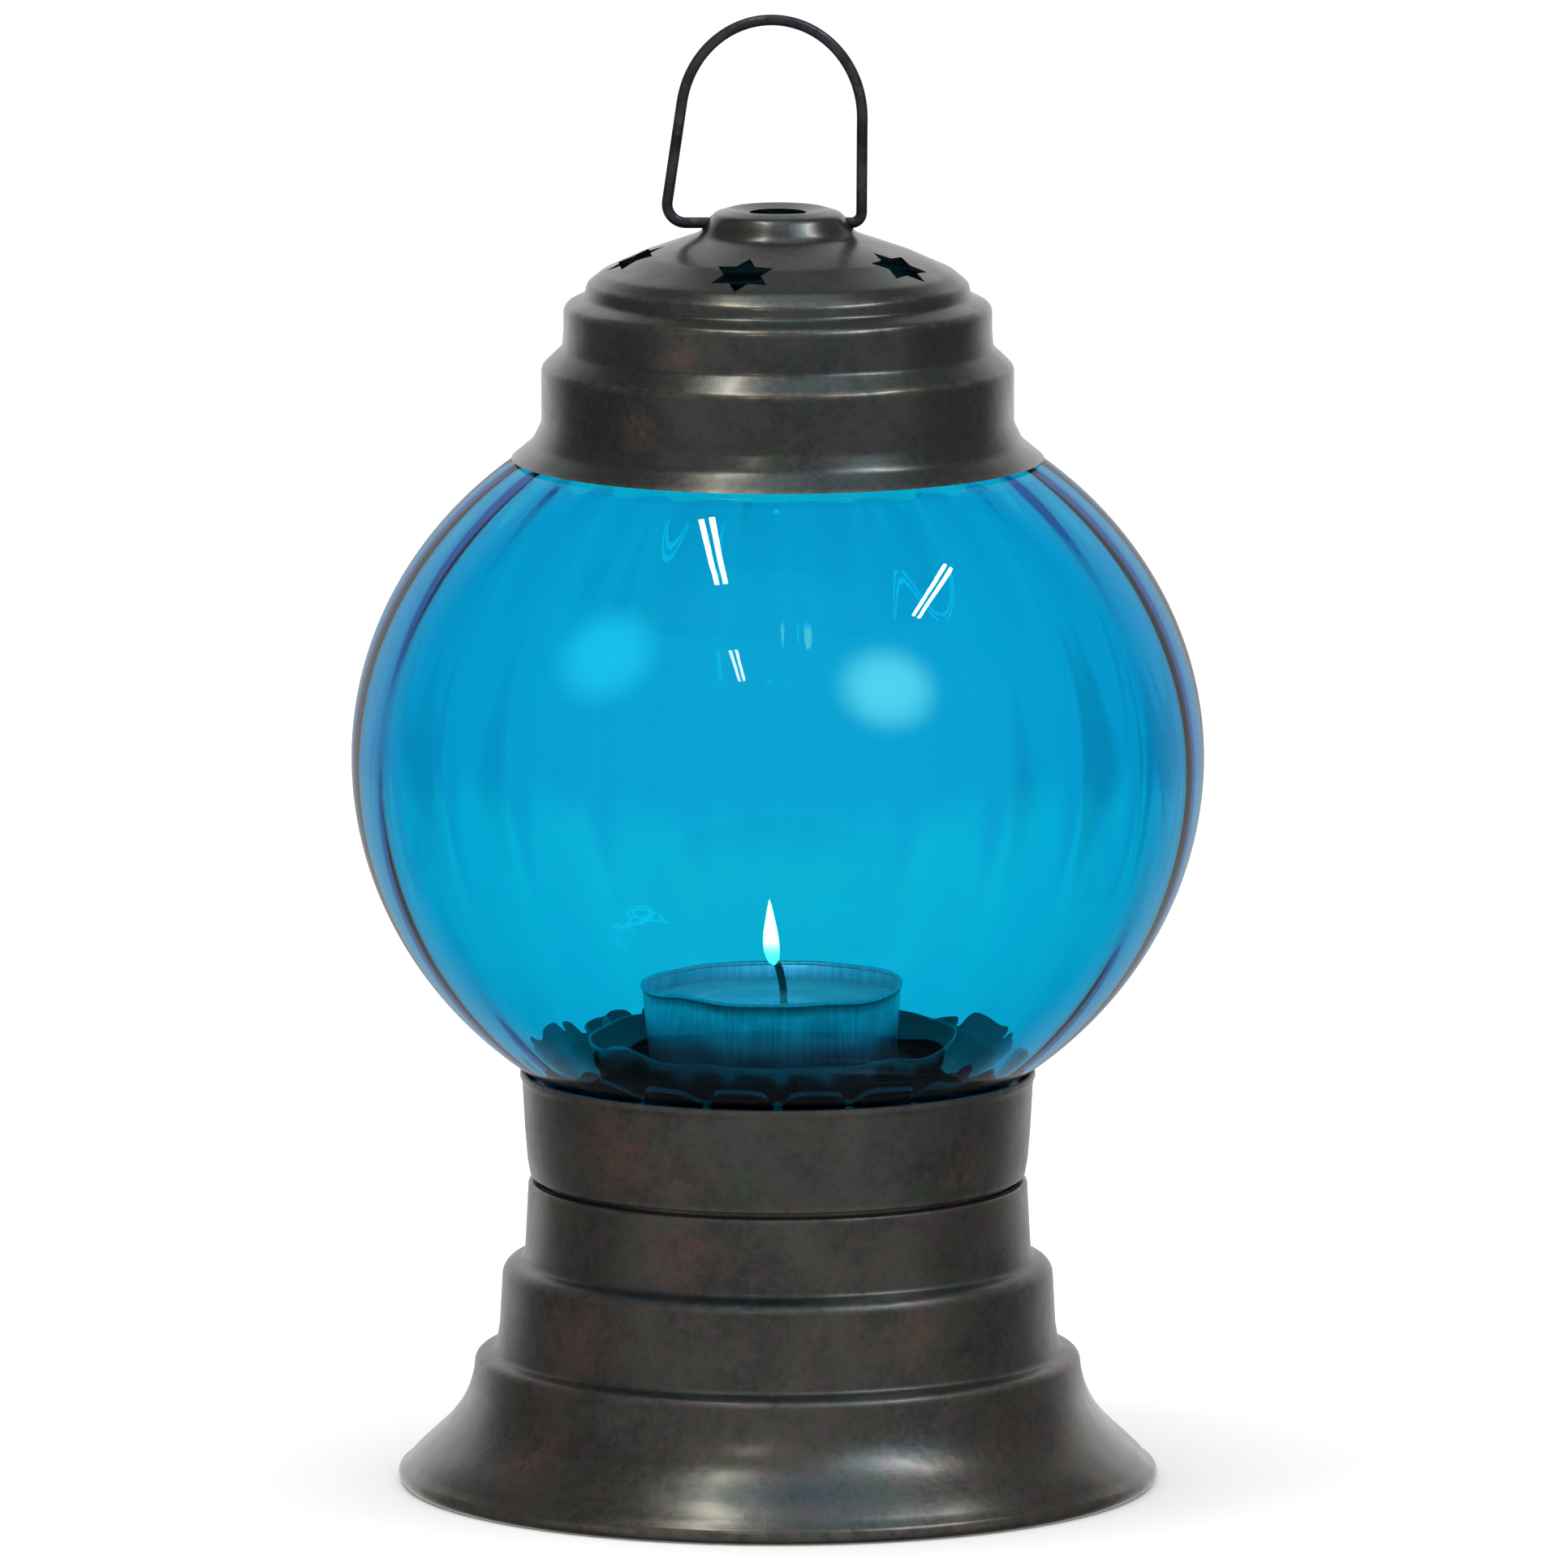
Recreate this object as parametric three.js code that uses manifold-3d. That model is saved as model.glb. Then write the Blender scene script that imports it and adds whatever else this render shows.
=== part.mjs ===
// Tealight lantern: a spun metal base, a ribbed glass globe held between a metal collar and a
// pierced metal cap, a wire bail, and a tealight in a cup on the base.
// Millimetres, +Z up. The origin is on the lantern's axis, in the plane that the foot stands on.
// The front is -Y, and an azimuth is measured from the front towards +X.

import * as THREE from 'three';
import { mergeVertices } from 'three/addons/utils/BufferGeometryUtils.js';
import Module from 'manifold-3d';

const wasm = await Module();
wasm.setup();

// ---------------------------------------------------------------- driving dimensions

const sheet = 0.6;          // wall of every spun or pressed metal piece
const seam = 0.7;           // open line between the collar and the base's shoulder
const bedding = 0.1;        // between pieces that are stacked and fixed together

const pedestal = { footRadius: 55.15, footBore: 52.6, beadHeight: 2.6, shoulderZ: 44.3, bore: 35.0 };

const neck = { radius: 34.7, bottomZ: 38.5, topZ: 56.8 };

const cup = { radius: 26.6, rimZ: 65.0, dishRadius: 6.3, dishDepth: 1.2 };

const rivet = { radius: 1.2, headRadius: 3.2, headHeight: 0.8, tailRadius: 2.4, crown: 0.7 };

const globe = {
  radius: 62.0,
  centreZ: 106.2,
  rise: 55.4,               // height of the full ellipse above its centre
  fall: 56.6,               // and depth below it
  wall: 2.2,                // at the ribs
  lowerMouth: 33.0,
  upperMouth: 31.5,
  shoulderRadius: 39.0,     // inside this radius the glass runs flatter to the upper mouth
  shoulderSlope: 0.49,
  ribs: 26,
  shoulderRibHeight: 0.6,   // the ribs stand out under the cap
  ribHeight: 0.15,          // and are low from the widest level down
  ribAzimuth: -3.4,         // degrees, of the rib nearest to the front
};

const cap = {
  rimRadius: 38.5,
  rimZ: 150.0,
  rimLip: 0.45,             // thickness of the rim's lower edge
  wallRadius: 34.2,
  knobRadius: 9.3,
  ventRadius: 4.1,
};

const star = { count: 5, ringRadius: 20.7, ringZ: 179.2, outerRadius: 4.8, azimuth: -14.3, tilt: 22 };

const bail = {
  wireRadius: 0.8,
  pivotZ: 184.2,
  holeRadius: 1.1,
  stubEnd: 7.4,             // the wire reaches in to this distance from the axis
  leftFoot: -16.4,
  rightFoot: 12.1,
  archX: -0.9,
  archZ: 199.5,
  archHalfWidth: 13.1,
  archHeight: 14.2,
  leftLegAngle: 171,        // where the splayed leg leaves the arch, in degrees of the ellipse
  leftBend: 3.2,
  rightBend: 1.7,
};

const claws = { count: 20, notchWidth: 2.0, rootWidth: 1.2 };

const lowerClaws = {
  flangeRadius: 36.1,
  flangeZ: neck.topZ + 0.5,
  sleeveRadius: 31.8,
  bendZ: 61.5,
  tipRadius: 36.0,
  tipZ: 64.1,
};

const upperClaws = {
  flangeRadius: 33.6,
  flangeZ: 153.95,
  sleeveRadius: 30.3,
  bendZ: 150.6,
  tipRadius: 34.8,
  tipZ: 148.2,
};

const tealight = { radius: 19.0, taper: 0.5, topZ: 73.0, foil: 0.4, waxZ: 70.6, wickTopZ: 76.6 };

const sides = { metal: 32, small: 12 };   // of the turned pieces
const filletSteps = 1;                    // flats across each rounded corner of an outline

// ---------------------------------------------------------------- materials

function finish(name, color, roughness, metalness, extra = {}) {
  return new THREE.MeshStandardMaterial({ name, color, roughness, metalness, ...extra });
}

const antiqueMetal = finish('antique_metal', 0x4a4441, 0.38, 0.8);
const darkWire = finish('dark_wire', 0x2f3336, 0.45, 0.8);
const blueGlass = finish('blue_glass', 0x0099cc, 0.05, 0, { transparent: true, opacity: 0.45 });
const foilMetal = finish('aluminium_foil', 0xc8cacc, 0.3, 1);
const paraffin = finish('wax', 0xf3efe4, 0.45, 0);
const cotton = finish('wick_cotton', 0x3a342e, 0.9, 0);

// ---------------------------------------------------------------- outlines

// Corners are [radius, height] or [radius, height, fillet]. The outline runs through them,
// with a curve of that fillet radius at each corner that has one.
function outline(corners, steps = filletSteps) {
  const points = corners.map(([r, z]) => new THREE.Vector2(r, z));
  const path = new THREE.Path();
  path.moveTo(points[0].x, points[0].y);
  for (let i = 1; i < points.length - 1; i += 1) {
    const here = points[i];
    const fillet = corners[i][2] ?? 0;
    const before = points[i - 1].clone().sub(here);
    const after = points[i + 1].clone().sub(here);
    const halfAngle = Math.abs(before.angleTo(after)) / 2;
    const wanted = fillet / Math.tan(halfAngle);
    const reach = Math.min(wanted, before.length() / 2, after.length() / 2);
    const start = here.clone().addScaledVector(before.normalize(), reach);
    const end = here.clone().addScaledVector(after.normalize(), reach);
    path.lineTo(start.x, start.y);
    if (reach > 0) path.quadraticCurveTo(here.x, here.y, end.x, end.y);
  }
  const last = points.at(-1);
  path.lineTo(last.x, last.y);
  return path.getPoints(steps);
}

// The corners moved sideways by a distance, to the left of the way that they run.
function offset(corners, distance) {
  const points = corners.map(([r, z]) => new THREE.Vector2(r, z));
  const leftOf = (a, b) => {
    const along = b.clone().sub(a).normalize();
    return new THREE.Vector2(-along.y, along.x);
  };
  return points.map((point, i) => {
    const last = points.length - 1;
    const before = leftOf(points[Math.max(i, 1) - 1], points[Math.max(i, 1)]);
    const after = leftOf(points[Math.min(i, last - 1)], points[Math.min(i, last - 1) + 1]);
    const mitre = before.clone().add(after).multiplyScalar(distance / (1 + before.dot(after)));
    return point.clone().add(mitre);
  });
}

// A strip of sheet metal seen in section: the rounded face, and the plain back of it.
function sheetSection(corners, distance = sheet) {
  return [...outline(corners), ...offset(corners, distance).reverse()];
}

// ---------------------------------------------------------------- solids

// One closed body with shared vertices and its faces pointing out.
function closedBody(geometry) {
  geometry.deleteAttribute('normal');
  geometry.deleteAttribute('uv');
  const merged = mergeVertices(geometry, 1e-4);
  const position = merged.attributes.position;
  const corner = [0, 1, 2].map(() => new THREE.Vector3());
  const kept = [];
  let volume = 0;
  for (let i = 0; i < merged.index.count; i += 3) {
    const triangle = [0, 1, 2].map((k) => merged.index.getX(i + k));
    if (new Set(triangle).size < 3) continue;
    triangle.forEach((vertex, k) => corner[k].fromBufferAttribute(position, vertex));
    volume += corner[0].dot(corner[1].clone().cross(corner[2]));
    kept.push(...triangle);
  }
  if (volume < 0) kept.reverse();
  merged.setIndex(kept);
  return merged;
}

function toManifold(geometry) {
  const body = closedBody(geometry);
  const vertProperties = new Float32Array(body.attributes.position.array);
  const triVerts = new Uint32Array(body.index.array);
  return new wasm.Manifold(new wasm.Mesh({ numProp: 3, vertProperties, triVerts }));
}

function toGeometry(manifold) {
  const mesh = manifold.getMesh();
  const geometry = new THREE.BufferGeometry();
  geometry.setAttribute('position', new THREE.BufferAttribute(new Float32Array(mesh.vertProperties), 3));
  geometry.setIndex([...mesh.triVerts]);
  return geometry;
}

function cutAway(geometry, cutters) {
  const body = cutters.reduce((left, cutter) => left.subtract(toManifold(cutter)), toManifold(geometry));
  return toGeometry(body);
}

// The section turned about the axis. A closed section is given once round, and closed here.
function turned(section, segments, closed = true, startAzimuth = 0) {
  const points = closed ? [...section, section[0]] : section;
  const start = THREE.MathUtils.degToRad(startAzimuth);
  return new THREE.LatheGeometry(points, segments, start).rotateX(Math.PI / 2);
}

function vectors(corners) {
  return corners.map(([r, z]) => new THREE.Vector2(r, z));
}

const parts = [];

function addPart(name, geometry, material) {
  const mesh = new THREE.Mesh(closedBody(geometry), material);
  mesh.name = name;
  parts.push(mesh);
}

// ---------------------------------------------------------------- base

// A rolled foot, a sweeping flare, two rounded steps, and a shoulder that the neck comes up through.
function basePedestal() {
  const bead = [
    [pedestal.footBore, 0],
    [pedestal.footRadius, 0, 1.25],
    [pedestal.footRadius, pedestal.beadHeight, 1.25],
  ];
  const flare = new THREE.CubicBezierCurve(
    new THREE.Vector2(53.9, 2.9),
    new THREE.Vector2(50.4, 7.2),
    new THREE.Vector2(45.4, 9.0),
    new THREE.Vector2(44.1, 16.6),
  );
  const wall = [
    ...flare.getPoints(5).map((point) => [point.x, point.y]),
    [43.9, 18.7, 1.5],
    [41.0, 19.3, 1.5],
    [39.9, 31.8, 1.6],
    [36.8, 32.9, 1.6],
    [36.2, pedestal.shoulderZ, 1.2],
    [pedestal.bore, pedestal.shoulderZ],
  ];
  return turned([...outline([...bead, ...wall]), ...offset(wall, sheet).reverse()], sides.metal);
}

// An inverted cup: its wall guides the collar, and its dished top carries the candle cup.
function baseNeck() {
  const wall = [
    [neck.radius, neck.bottomZ],
    [neck.radius, neck.topZ, 1.2],
    ...dish(neck.topZ, cup.dishRadius + sheet),
  ];
  return turned(sheetSection(wall), sides.metal);
}

// The shallow dish, round the rivet's hole, in a floor at height z.
function dish(z, radius) {
  return [
    [radius + cup.dishDepth, z],
    [radius, z - cup.dishDepth],
    [rivet.radius + bedding, z - cup.dishDepth],
  ];
}

// A straight-sided dish that the tealight stands in.
function candleCup() {
  const floorZ = neck.topZ + bedding + sheet;
  const inside = [
    [cup.radius - sheet, cup.rimZ],
    [cup.radius - sheet, floorZ, 1.4],
    ...dish(floorZ, cup.dishRadius),
  ];
  return turned(sheetSection(inside), sides.metal);
}

// It clamps the candle cup to the neck, with its head sunk in the dish.
function candleCupRivet() {
  const dishTopZ = neck.topZ + bedding + sheet - cup.dishDepth;
  const headZ = dishTopZ + bedding;
  const tailZ = neck.topZ - cup.dishDepth - sheet - bedding;
  const section = vectors([
    [0, headZ + rivet.headHeight],
    [rivet.headRadius * rivet.crown, headZ + rivet.headHeight * rivet.crown],
    [rivet.headRadius, headZ],
    [rivet.radius, headZ],
    [rivet.radius, tailZ],
    [rivet.tailRadius, tailZ],
    [rivet.tailRadius * rivet.crown, tailZ - rivet.headHeight],
    [0, tailZ - rivet.headHeight],
  ]);
  return turned(section, sides.small, false);
}

addPart('base_pedestal', basePedestal(), antiqueMetal);
addPart('base_neck', baseNeck(), antiqueMetal);
addPart('candle_cup', candleCup(), antiqueMetal);
addPart('candle_cup_rivet', candleCupRivet(), antiqueMetal);

// ---------------------------------------------------------------- tealight

const canBottomZ = neck.topZ + bedding + sheet + bedding;

function tealightCan() {
  const floorRadius = tealight.radius - tealight.taper;
  const outer = [
    [0, canBottomZ],
    [floorRadius, canBottomZ, 0.8],
    [tealight.radius, tealight.topZ],
  ];
  const inner = [
    [tealight.radius - tealight.foil, tealight.topZ],
    [floorRadius - tealight.foil, canBottomZ + tealight.foil],
    [0, canBottomZ + tealight.foil],
  ];
  return turned([...outline(outer), ...vectors(inner)], sides.metal, false);
}

const waxFloorZ = canBottomZ + tealight.foil + bedding;
const sustainer = { radius: 7.0, height: 0.4, tubeRadius: 1.5, tubeHeight: 3.2 };
const wickRadius = 0.7;

// A disc of wax with a recess below for the sustainer and a hole for the wick.
function tealightWax() {
  const radius = tealight.radius - tealight.foil - tealight.taper - 2 * bedding;
  const recessZ = waxFloorZ + sustainer.height + bedding;
  const tubeTopZ = waxFloorZ + sustainer.tubeHeight + bedding;
  const section = vectors([
    [sustainer.radius + bedding, waxFloorZ],
    [radius, waxFloorZ],
    [radius, tealight.waxZ],
    [wickRadius + bedding + 2.0, tealight.waxZ - 0.4],
    [wickRadius + bedding, tealight.waxZ - 0.8],
    [wickRadius + bedding, tubeTopZ],
    [sustainer.tubeRadius + bedding, tubeTopZ],
    [sustainer.tubeRadius + bedding, recessZ],
    [sustainer.radius + bedding, recessZ],
  ]);
  return turned(section, sides.metal);
}

// The metal disc on the can's floor, with a short tube that grips the wick.
function wickSustainer() {
  const section = vectors([
    [wickRadius + bedding, waxFloorZ],
    [sustainer.radius, waxFloorZ],
    [sustainer.radius, waxFloorZ + sustainer.height],
    [sustainer.tubeRadius, waxFloorZ + sustainer.height],
    [sustainer.tubeRadius, waxFloorZ + sustainer.tubeHeight],
    [wickRadius + bedding, waxFloorZ + sustainer.tubeHeight],
  ]);
  return turned(section, sides.small);
}

// A cotton cord, straight in the wax, whose burnt tip leans over.
function wick() {
  const path = new THREE.CatmullRomCurve3([
    new THREE.Vector3(0, 0, waxFloorZ + bedding),
    new THREE.Vector3(0, 0, tealight.waxZ - 4),
    new THREE.Vector3(0, 0, tealight.waxZ + 0.5),
    new THREE.Vector3(-0.3, 0, (tealight.waxZ + tealight.wickTopZ) / 2 + 0.6),
    new THREE.Vector3(-1.3, 0, tealight.wickTopZ - 0.3),
  ]);
  const section = new THREE.Shape().absarc(0, 0, wickRadius, 0, 2 * Math.PI);
  const options = { steps: 12, curveSegments: 4, extrudePath: path, bevelEnabled: false };
  return new THREE.ExtrudeGeometry(section, options);
}

addPart('tealight_can', tealightCan(), foilMetal);
addPart('tealight_wax', tealightWax(), paraffin);
addPart('wick_sustainer', wickSustainer(), foilMetal);
addPart('wick', wick(), cotton);

// ---------------------------------------------------------------- globe

// Half the section of an ellipse from one angle to another, in degrees above its widest level.
function ellipseArc(radius, rise, fall, fromAngle, toAngle, steps) {
  return Array.from({ length: steps + 1 }, (_, i) => {
    const angle = THREE.MathUtils.degToRad(fromAngle + ((toAngle - fromAngle) * i) / steps);
    const reach = angle > 0 ? rise : fall;
    return new THREE.Vector2(radius * Math.cos(angle), globe.centreZ + reach * Math.sin(angle));
  });
}

function angleAt(radius, fullRadius) {
  return THREE.MathUtils.radToDeg(Math.acos(radius / fullRadius));
}

// A blown globe with cut mouths. It is smooth outside, and ribbed inside.
function glassGlobe() {
  const inside = globe.radius - globe.wall;
  const outer = ellipseArc(
    globe.radius,
    globe.rise,
    globe.fall,
    -angleAt(globe.lowerMouth, globe.radius),
    angleAt(globe.shoulderRadius, globe.radius),
    12,
  );
  const shoulder = outer.at(-1);
  const run = shoulder.x - globe.upperMouth;
  const lip = new THREE.Vector2(globe.upperMouth, shoulder.y + run * globe.shoulderSlope);
  const inner = ellipseArc(
    inside,
    globe.rise - globe.wall,
    globe.fall - globe.wall,
    angleAt(globe.upperMouth, inside),
    -angleAt(globe.lowerMouth, inside),
    12,
  );
  const geometry = turned([...outer, lip, ...inner], 2 * globe.ribs, true, globe.ribAzimuth);
  return ribbed(geometry, inside);
}

// Moves the inner surface out between the ribs. It stays where it is at the two mouths.
// Above the widest level the ribs grow with the square of the height.
function ribbed(geometry, inside) {
  const nearly = 0.1;
  const position = geometry.attributes.position;
  const rib = THREE.MathUtils.degToRad(globe.ribAzimuth);
  for (let i = 0; i < position.count; i += 1) {
    const point = new THREE.Vector3().fromBufferAttribute(position, i);
    const radius = Math.hypot(point.x, point.y);
    const reach = point.z > globe.centreZ ? globe.rise : globe.fall;
    const level = (point.z - globe.centreZ) / (reach - globe.wall);
    const innerRadius = inside * Math.sqrt(Math.max(0, 1 - level * level));
    const isInner = radius < innerRadius + nearly && radius > globe.lowerMouth + nearly;
    const azimuth = Math.atan2(point.x, -point.y) - rib;
    const hollow = (1 - Math.cos(globe.ribs * azimuth)) / 2;
    const climb = Math.max(0, level) ** 2;
    const height = THREE.MathUtils.lerp(globe.ribHeight, globe.shoulderRibHeight, climb);
    const share = isInner ? (height * hollow) / radius : 0;
    position.setXY(i, point.x * (1 + share), point.y * (1 + share));
  }
  return geometry;
}

// The band between the base and the glass. A thin open seam shows between it and the shoulder.
function collar() {
  const face = [
    [35.9, pedestal.shoulderZ + seam],
    [36.35, 47.5, 3],
    [36.7, 52, 3],
    [37.1, 59.0, 1],
    [37.5, 59.7, 0.3],
    [37.4, 60.4],
  ];
  const back = offset(face.slice(0, 4), sheet).reverse();
  const chamfer = new THREE.Vector2(36.75, 59.9);
  return turned([...outline(face), chamfer, ...back], sides.metal);
}

// A ring with a flange against the metal, a sleeve through the glass mouth, and a row of claws
// bent out over the inside of the glass.
function clawRing(ring, thickness) {
  const corners = [
    [ring.flangeRadius, ring.flangeZ],
    [ring.sleeveRadius, ring.flangeZ],
    [ring.sleeveRadius, ring.bendZ],
    [ring.tipRadius, ring.tipZ],
  ];
  const body = turned(sheetSection(corners, thickness), sides.metal);
  const notches = Array.from({ length: claws.count }, (_, i) => {
    const length = 2 * (ring.tipRadius - ring.sleeveRadius - claws.rootWidth);
    const height = 4 * Math.abs(ring.tipZ - ring.bendZ);
    const notch = new THREE.BoxGeometry(claws.notchWidth, length, height);
    notch.translate(0, -ring.tipRadius, (ring.bendZ + ring.tipZ) / 2);
    return notch.rotateZ((2 * Math.PI * i) / claws.count);
  });
  return cutAway(body, notches);
}

// Two stepped bands, a low dome pierced with stars, and a knob with a vent in its top.
function capShell() {
  const face = [
    [cap.rimRadius, cap.rimZ],
    [35.5, 152.5, 3],
    [cap.wallRadius, 155.2, 2.5],
    [cap.wallRadius, 163.3, 1.4],
    [31.2, 166.2, 1.4],
    [31.0, 172.2, 1.5],
    [28.0, 173.7, 1],
    [27.6, 175.4, 1.4],
    [25.5, 177.1, 3],
    [19.5, 179.8, 8],
    [11.3, 182.7, 3.0],
    [cap.knobRadius, 185.7, 1.8],
    [7.0, 186.4, 1.2],
    [cap.ventRadius, 185.8],
  ];
  const back = offset(face, sheet).reverse();
  back.pop();
  const rimInside = new THREE.Vector2(cap.rimRadius - cap.rimLip, cap.rimZ + 0.1);
  const shell = turned([...outline(face), ...back, rimInside], sides.metal);
  return cutAway(shell, [...starCutters(), bailHoleCutter()]);
}

function starCutters() {
  const innerRadius = star.outerRadius / Math.sqrt(3);
  const points = Array.from({ length: 12 }, (_, i) => {
    const radius = i % 2 ? innerRadius : star.outerRadius;
    const angle = (Math.PI * i) / 6;
    return new THREE.Vector2(radius * Math.sin(angle), radius * Math.cos(angle));
  });
  return Array.from({ length: star.count }, (_, i) => {
    const cutter = new THREE.ExtrudeGeometry(new THREE.Shape(points), { depth: 6, bevelEnabled: false });
    cutter.translate(0, 0, -3);
    cutter.rotateX(THREE.MathUtils.degToRad(star.tilt));
    cutter.translate(0, -star.ringRadius, star.ringZ);
    return cutter.rotateZ(THREE.MathUtils.degToRad(star.azimuth + (360 * i) / star.count));
  });
}

// One drill through both sides of the knob.
function bailHoleCutter() {
  const drill = new THREE.CylinderGeometry(bail.holeRadius, bail.holeRadius, 3 * cap.knobRadius, 12);
  return drill.rotateZ(Math.PI / 2).translate(0, 0, bail.pivotZ);
}

addPart('glass_globe', glassGlobe(), blueGlass);
addPart('collar', collar(), antiqueMetal);
addPart('lower_claw_ring', clawRing(lowerClaws, -sheet), antiqueMetal);
addPart('upper_claw_ring', clawRing(upperClaws, sheet), antiqueMetal);
addPart('cap_shell', capShell(), antiqueMetal);

// ---------------------------------------------------------------- bail

// A path drawn in X and Z, standing upright at Y = 0.
class UprightCurve extends THREE.Curve {
  constructor(path) {
    super();
    this.path = path;
  }

  getPoint(t) {
    const point = this.path.getPoint(t);
    return new THREE.Vector3(point.x, 0, point.y);
  }
}

// The hand-bent wire: a splayed left leg, a tall arch, a straight right leg, and two turned-in ends.
function bailHandle() {
  const leave = THREE.MathUtils.degToRad(bail.leftLegAngle);
  const archStart = new THREE.Vector2(
    bail.archX + bail.archHalfWidth * Math.cos(leave),
    bail.archZ + bail.archHeight * Math.sin(leave),
  );
  const foot = new THREE.Vector2(bail.leftFoot, bail.pivotZ);
  const legStart = foot.clone().add(archStart.clone().sub(foot).setLength(bail.leftBend));
  const path = new THREE.Path();
  path.moveTo(-bail.stubEnd, bail.pivotZ);
  path.lineTo(foot.x + bail.leftBend, foot.y);
  path.quadraticCurveTo(foot.x, foot.y, legStart.x, legStart.y);
  path.lineTo(archStart.x, archStart.y);
  path.absellipse(bail.archX, bail.archZ, bail.archHalfWidth, bail.archHeight, leave, 0, true);
  path.lineTo(bail.rightFoot, bail.pivotZ + bail.rightBend);
  path.quadraticCurveTo(bail.rightFoot, bail.pivotZ, bail.rightFoot - bail.rightBend, bail.pivotZ);
  path.lineTo(bail.stubEnd, bail.pivotZ);
  const section = new THREE.Shape().absarc(0, 0, bail.wireRadius, 0, 2 * Math.PI);
  const options = { steps: 60, curveSegments: 4, extrudePath: new UprightCurve(path), bevelEnabled: false };
  return new THREE.ExtrudeGeometry(section, options);
}

addPart('bail_handle', bailHandle(), darkWire);

const lantern = new THREE.Group();
lantern.add(...parts);

export default lantern;
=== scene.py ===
"""The looks of a tealight lantern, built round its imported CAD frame.

Metres, +Z up, and the front is -Y. An azimuth is measured from the front towards +X.
Outlines are written in millimetres, as [radius, height] or [radius, height, fillet].
"""

import math

import bmesh
import bpy
import numpy as np
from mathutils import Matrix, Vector, noise


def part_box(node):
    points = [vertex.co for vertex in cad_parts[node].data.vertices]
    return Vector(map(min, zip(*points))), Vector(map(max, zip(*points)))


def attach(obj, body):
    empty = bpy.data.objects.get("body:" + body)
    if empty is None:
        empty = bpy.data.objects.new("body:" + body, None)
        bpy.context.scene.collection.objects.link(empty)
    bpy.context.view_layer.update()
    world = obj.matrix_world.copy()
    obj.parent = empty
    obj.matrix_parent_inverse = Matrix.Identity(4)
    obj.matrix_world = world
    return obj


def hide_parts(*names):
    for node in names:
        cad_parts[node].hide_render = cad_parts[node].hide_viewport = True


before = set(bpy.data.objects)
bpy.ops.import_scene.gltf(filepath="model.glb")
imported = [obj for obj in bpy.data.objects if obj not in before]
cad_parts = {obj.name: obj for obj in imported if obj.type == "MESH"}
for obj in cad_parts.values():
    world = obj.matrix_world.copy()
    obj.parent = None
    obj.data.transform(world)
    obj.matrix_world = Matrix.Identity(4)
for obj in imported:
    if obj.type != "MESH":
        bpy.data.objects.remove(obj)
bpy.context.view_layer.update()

MM = 0.001


def top_mm(node):
    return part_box(node)[1].z / MM


def bottom_mm(node):
    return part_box(node)[0].z / MM


def radius_mm(node):
    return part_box(node)[1].x / MM


# ---------------------------------------------------------------- driving dimensions, in mm

SHEET = 0.6                               # wall of every spun or pressed metal piece
ROUND_SIDES = 288                         # facets round the large turned pieces

FOOT_RADIUS = radius_mm("base_pedestal")
SHOULDER_Z = top_mm("base_pedestal")
COLLAR_BOTTOM = bottom_mm("collar")
COLLAR_TOP = top_mm("collar")
CUP_RADIUS = radius_mm("candle_cup")
CUP_RIM_Z = top_mm("candle_cup")
CAP_RIM_RADIUS = radius_mm("cap_shell")
CAP_RIM_Z = bottom_mm("cap_shell")
KNOB_TOP_Z = top_mm("cap_shell")
CAN_RADIUS = radius_mm("tealight_can")
CAN_BOTTOM_Z = bottom_mm("tealight_can")
CAN_TOP_Z = top_mm("tealight_can")
WAX_TOP_Z = top_mm("tealight_wax")
WICK_TOP_Z = top_mm("wick")

GLOBE_RADIUS = radius_mm("glass_globe")
GLOBE_CENTRE_Z = 106.2                    # the widest level
GLOBE_RISE = 55.4                         # the half ellipse above it
GLOBE_FALL = 56.6                         # and below it
GLASS_WALL = 2.2                          # at the ribs
LOWER_MOUTH = 33.0
UPPER_MOUTH = 31.5
SHOULDER_RADIUS = 39.0                    # where the ellipse gives way to a straight shoulder
SHOULDER_SLOPE = 0.49                     # rise of the shoulder for each mm inward
RIBS = 26                                 # inside the glass, which is smooth outside
SHOULDER_RIB_HEIGHT = 0.60                # the ribs stand out under the cap,
RIB_HEIGHT = 0.15                         # and are low from the widest level down
RIB_AZIMUTH = -3.4                        # of the first rib, in degrees

STAR_COUNT = 5
STAR_RING_RADIUS = 20.7
STAR_RING_Z = 179.2
STAR_RADIUS = 4.8
STAR_AZIMUTH = -14.3                      # of the first star, in degrees
STAR_TILT = 22                            # slope of the dome at the stars, in degrees

CLAW_COUNT = 20
CLAW_GAP_SHARE = 0.2                      # of the way round, taken up by the gaps

KNOB_RADIUS = 9.3
VENT_RADIUS = 4.1
WIRE_RADIUS = 0.8
BAIL_PIVOT_Z = 184.2
BAIL_HOLE_RADIUS = 1.1

FLAME_TOP_Z = 85.2
FLAME_HALF_WIDTH = 0.95


# ---------------------------------------------------------------- outlines

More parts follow.
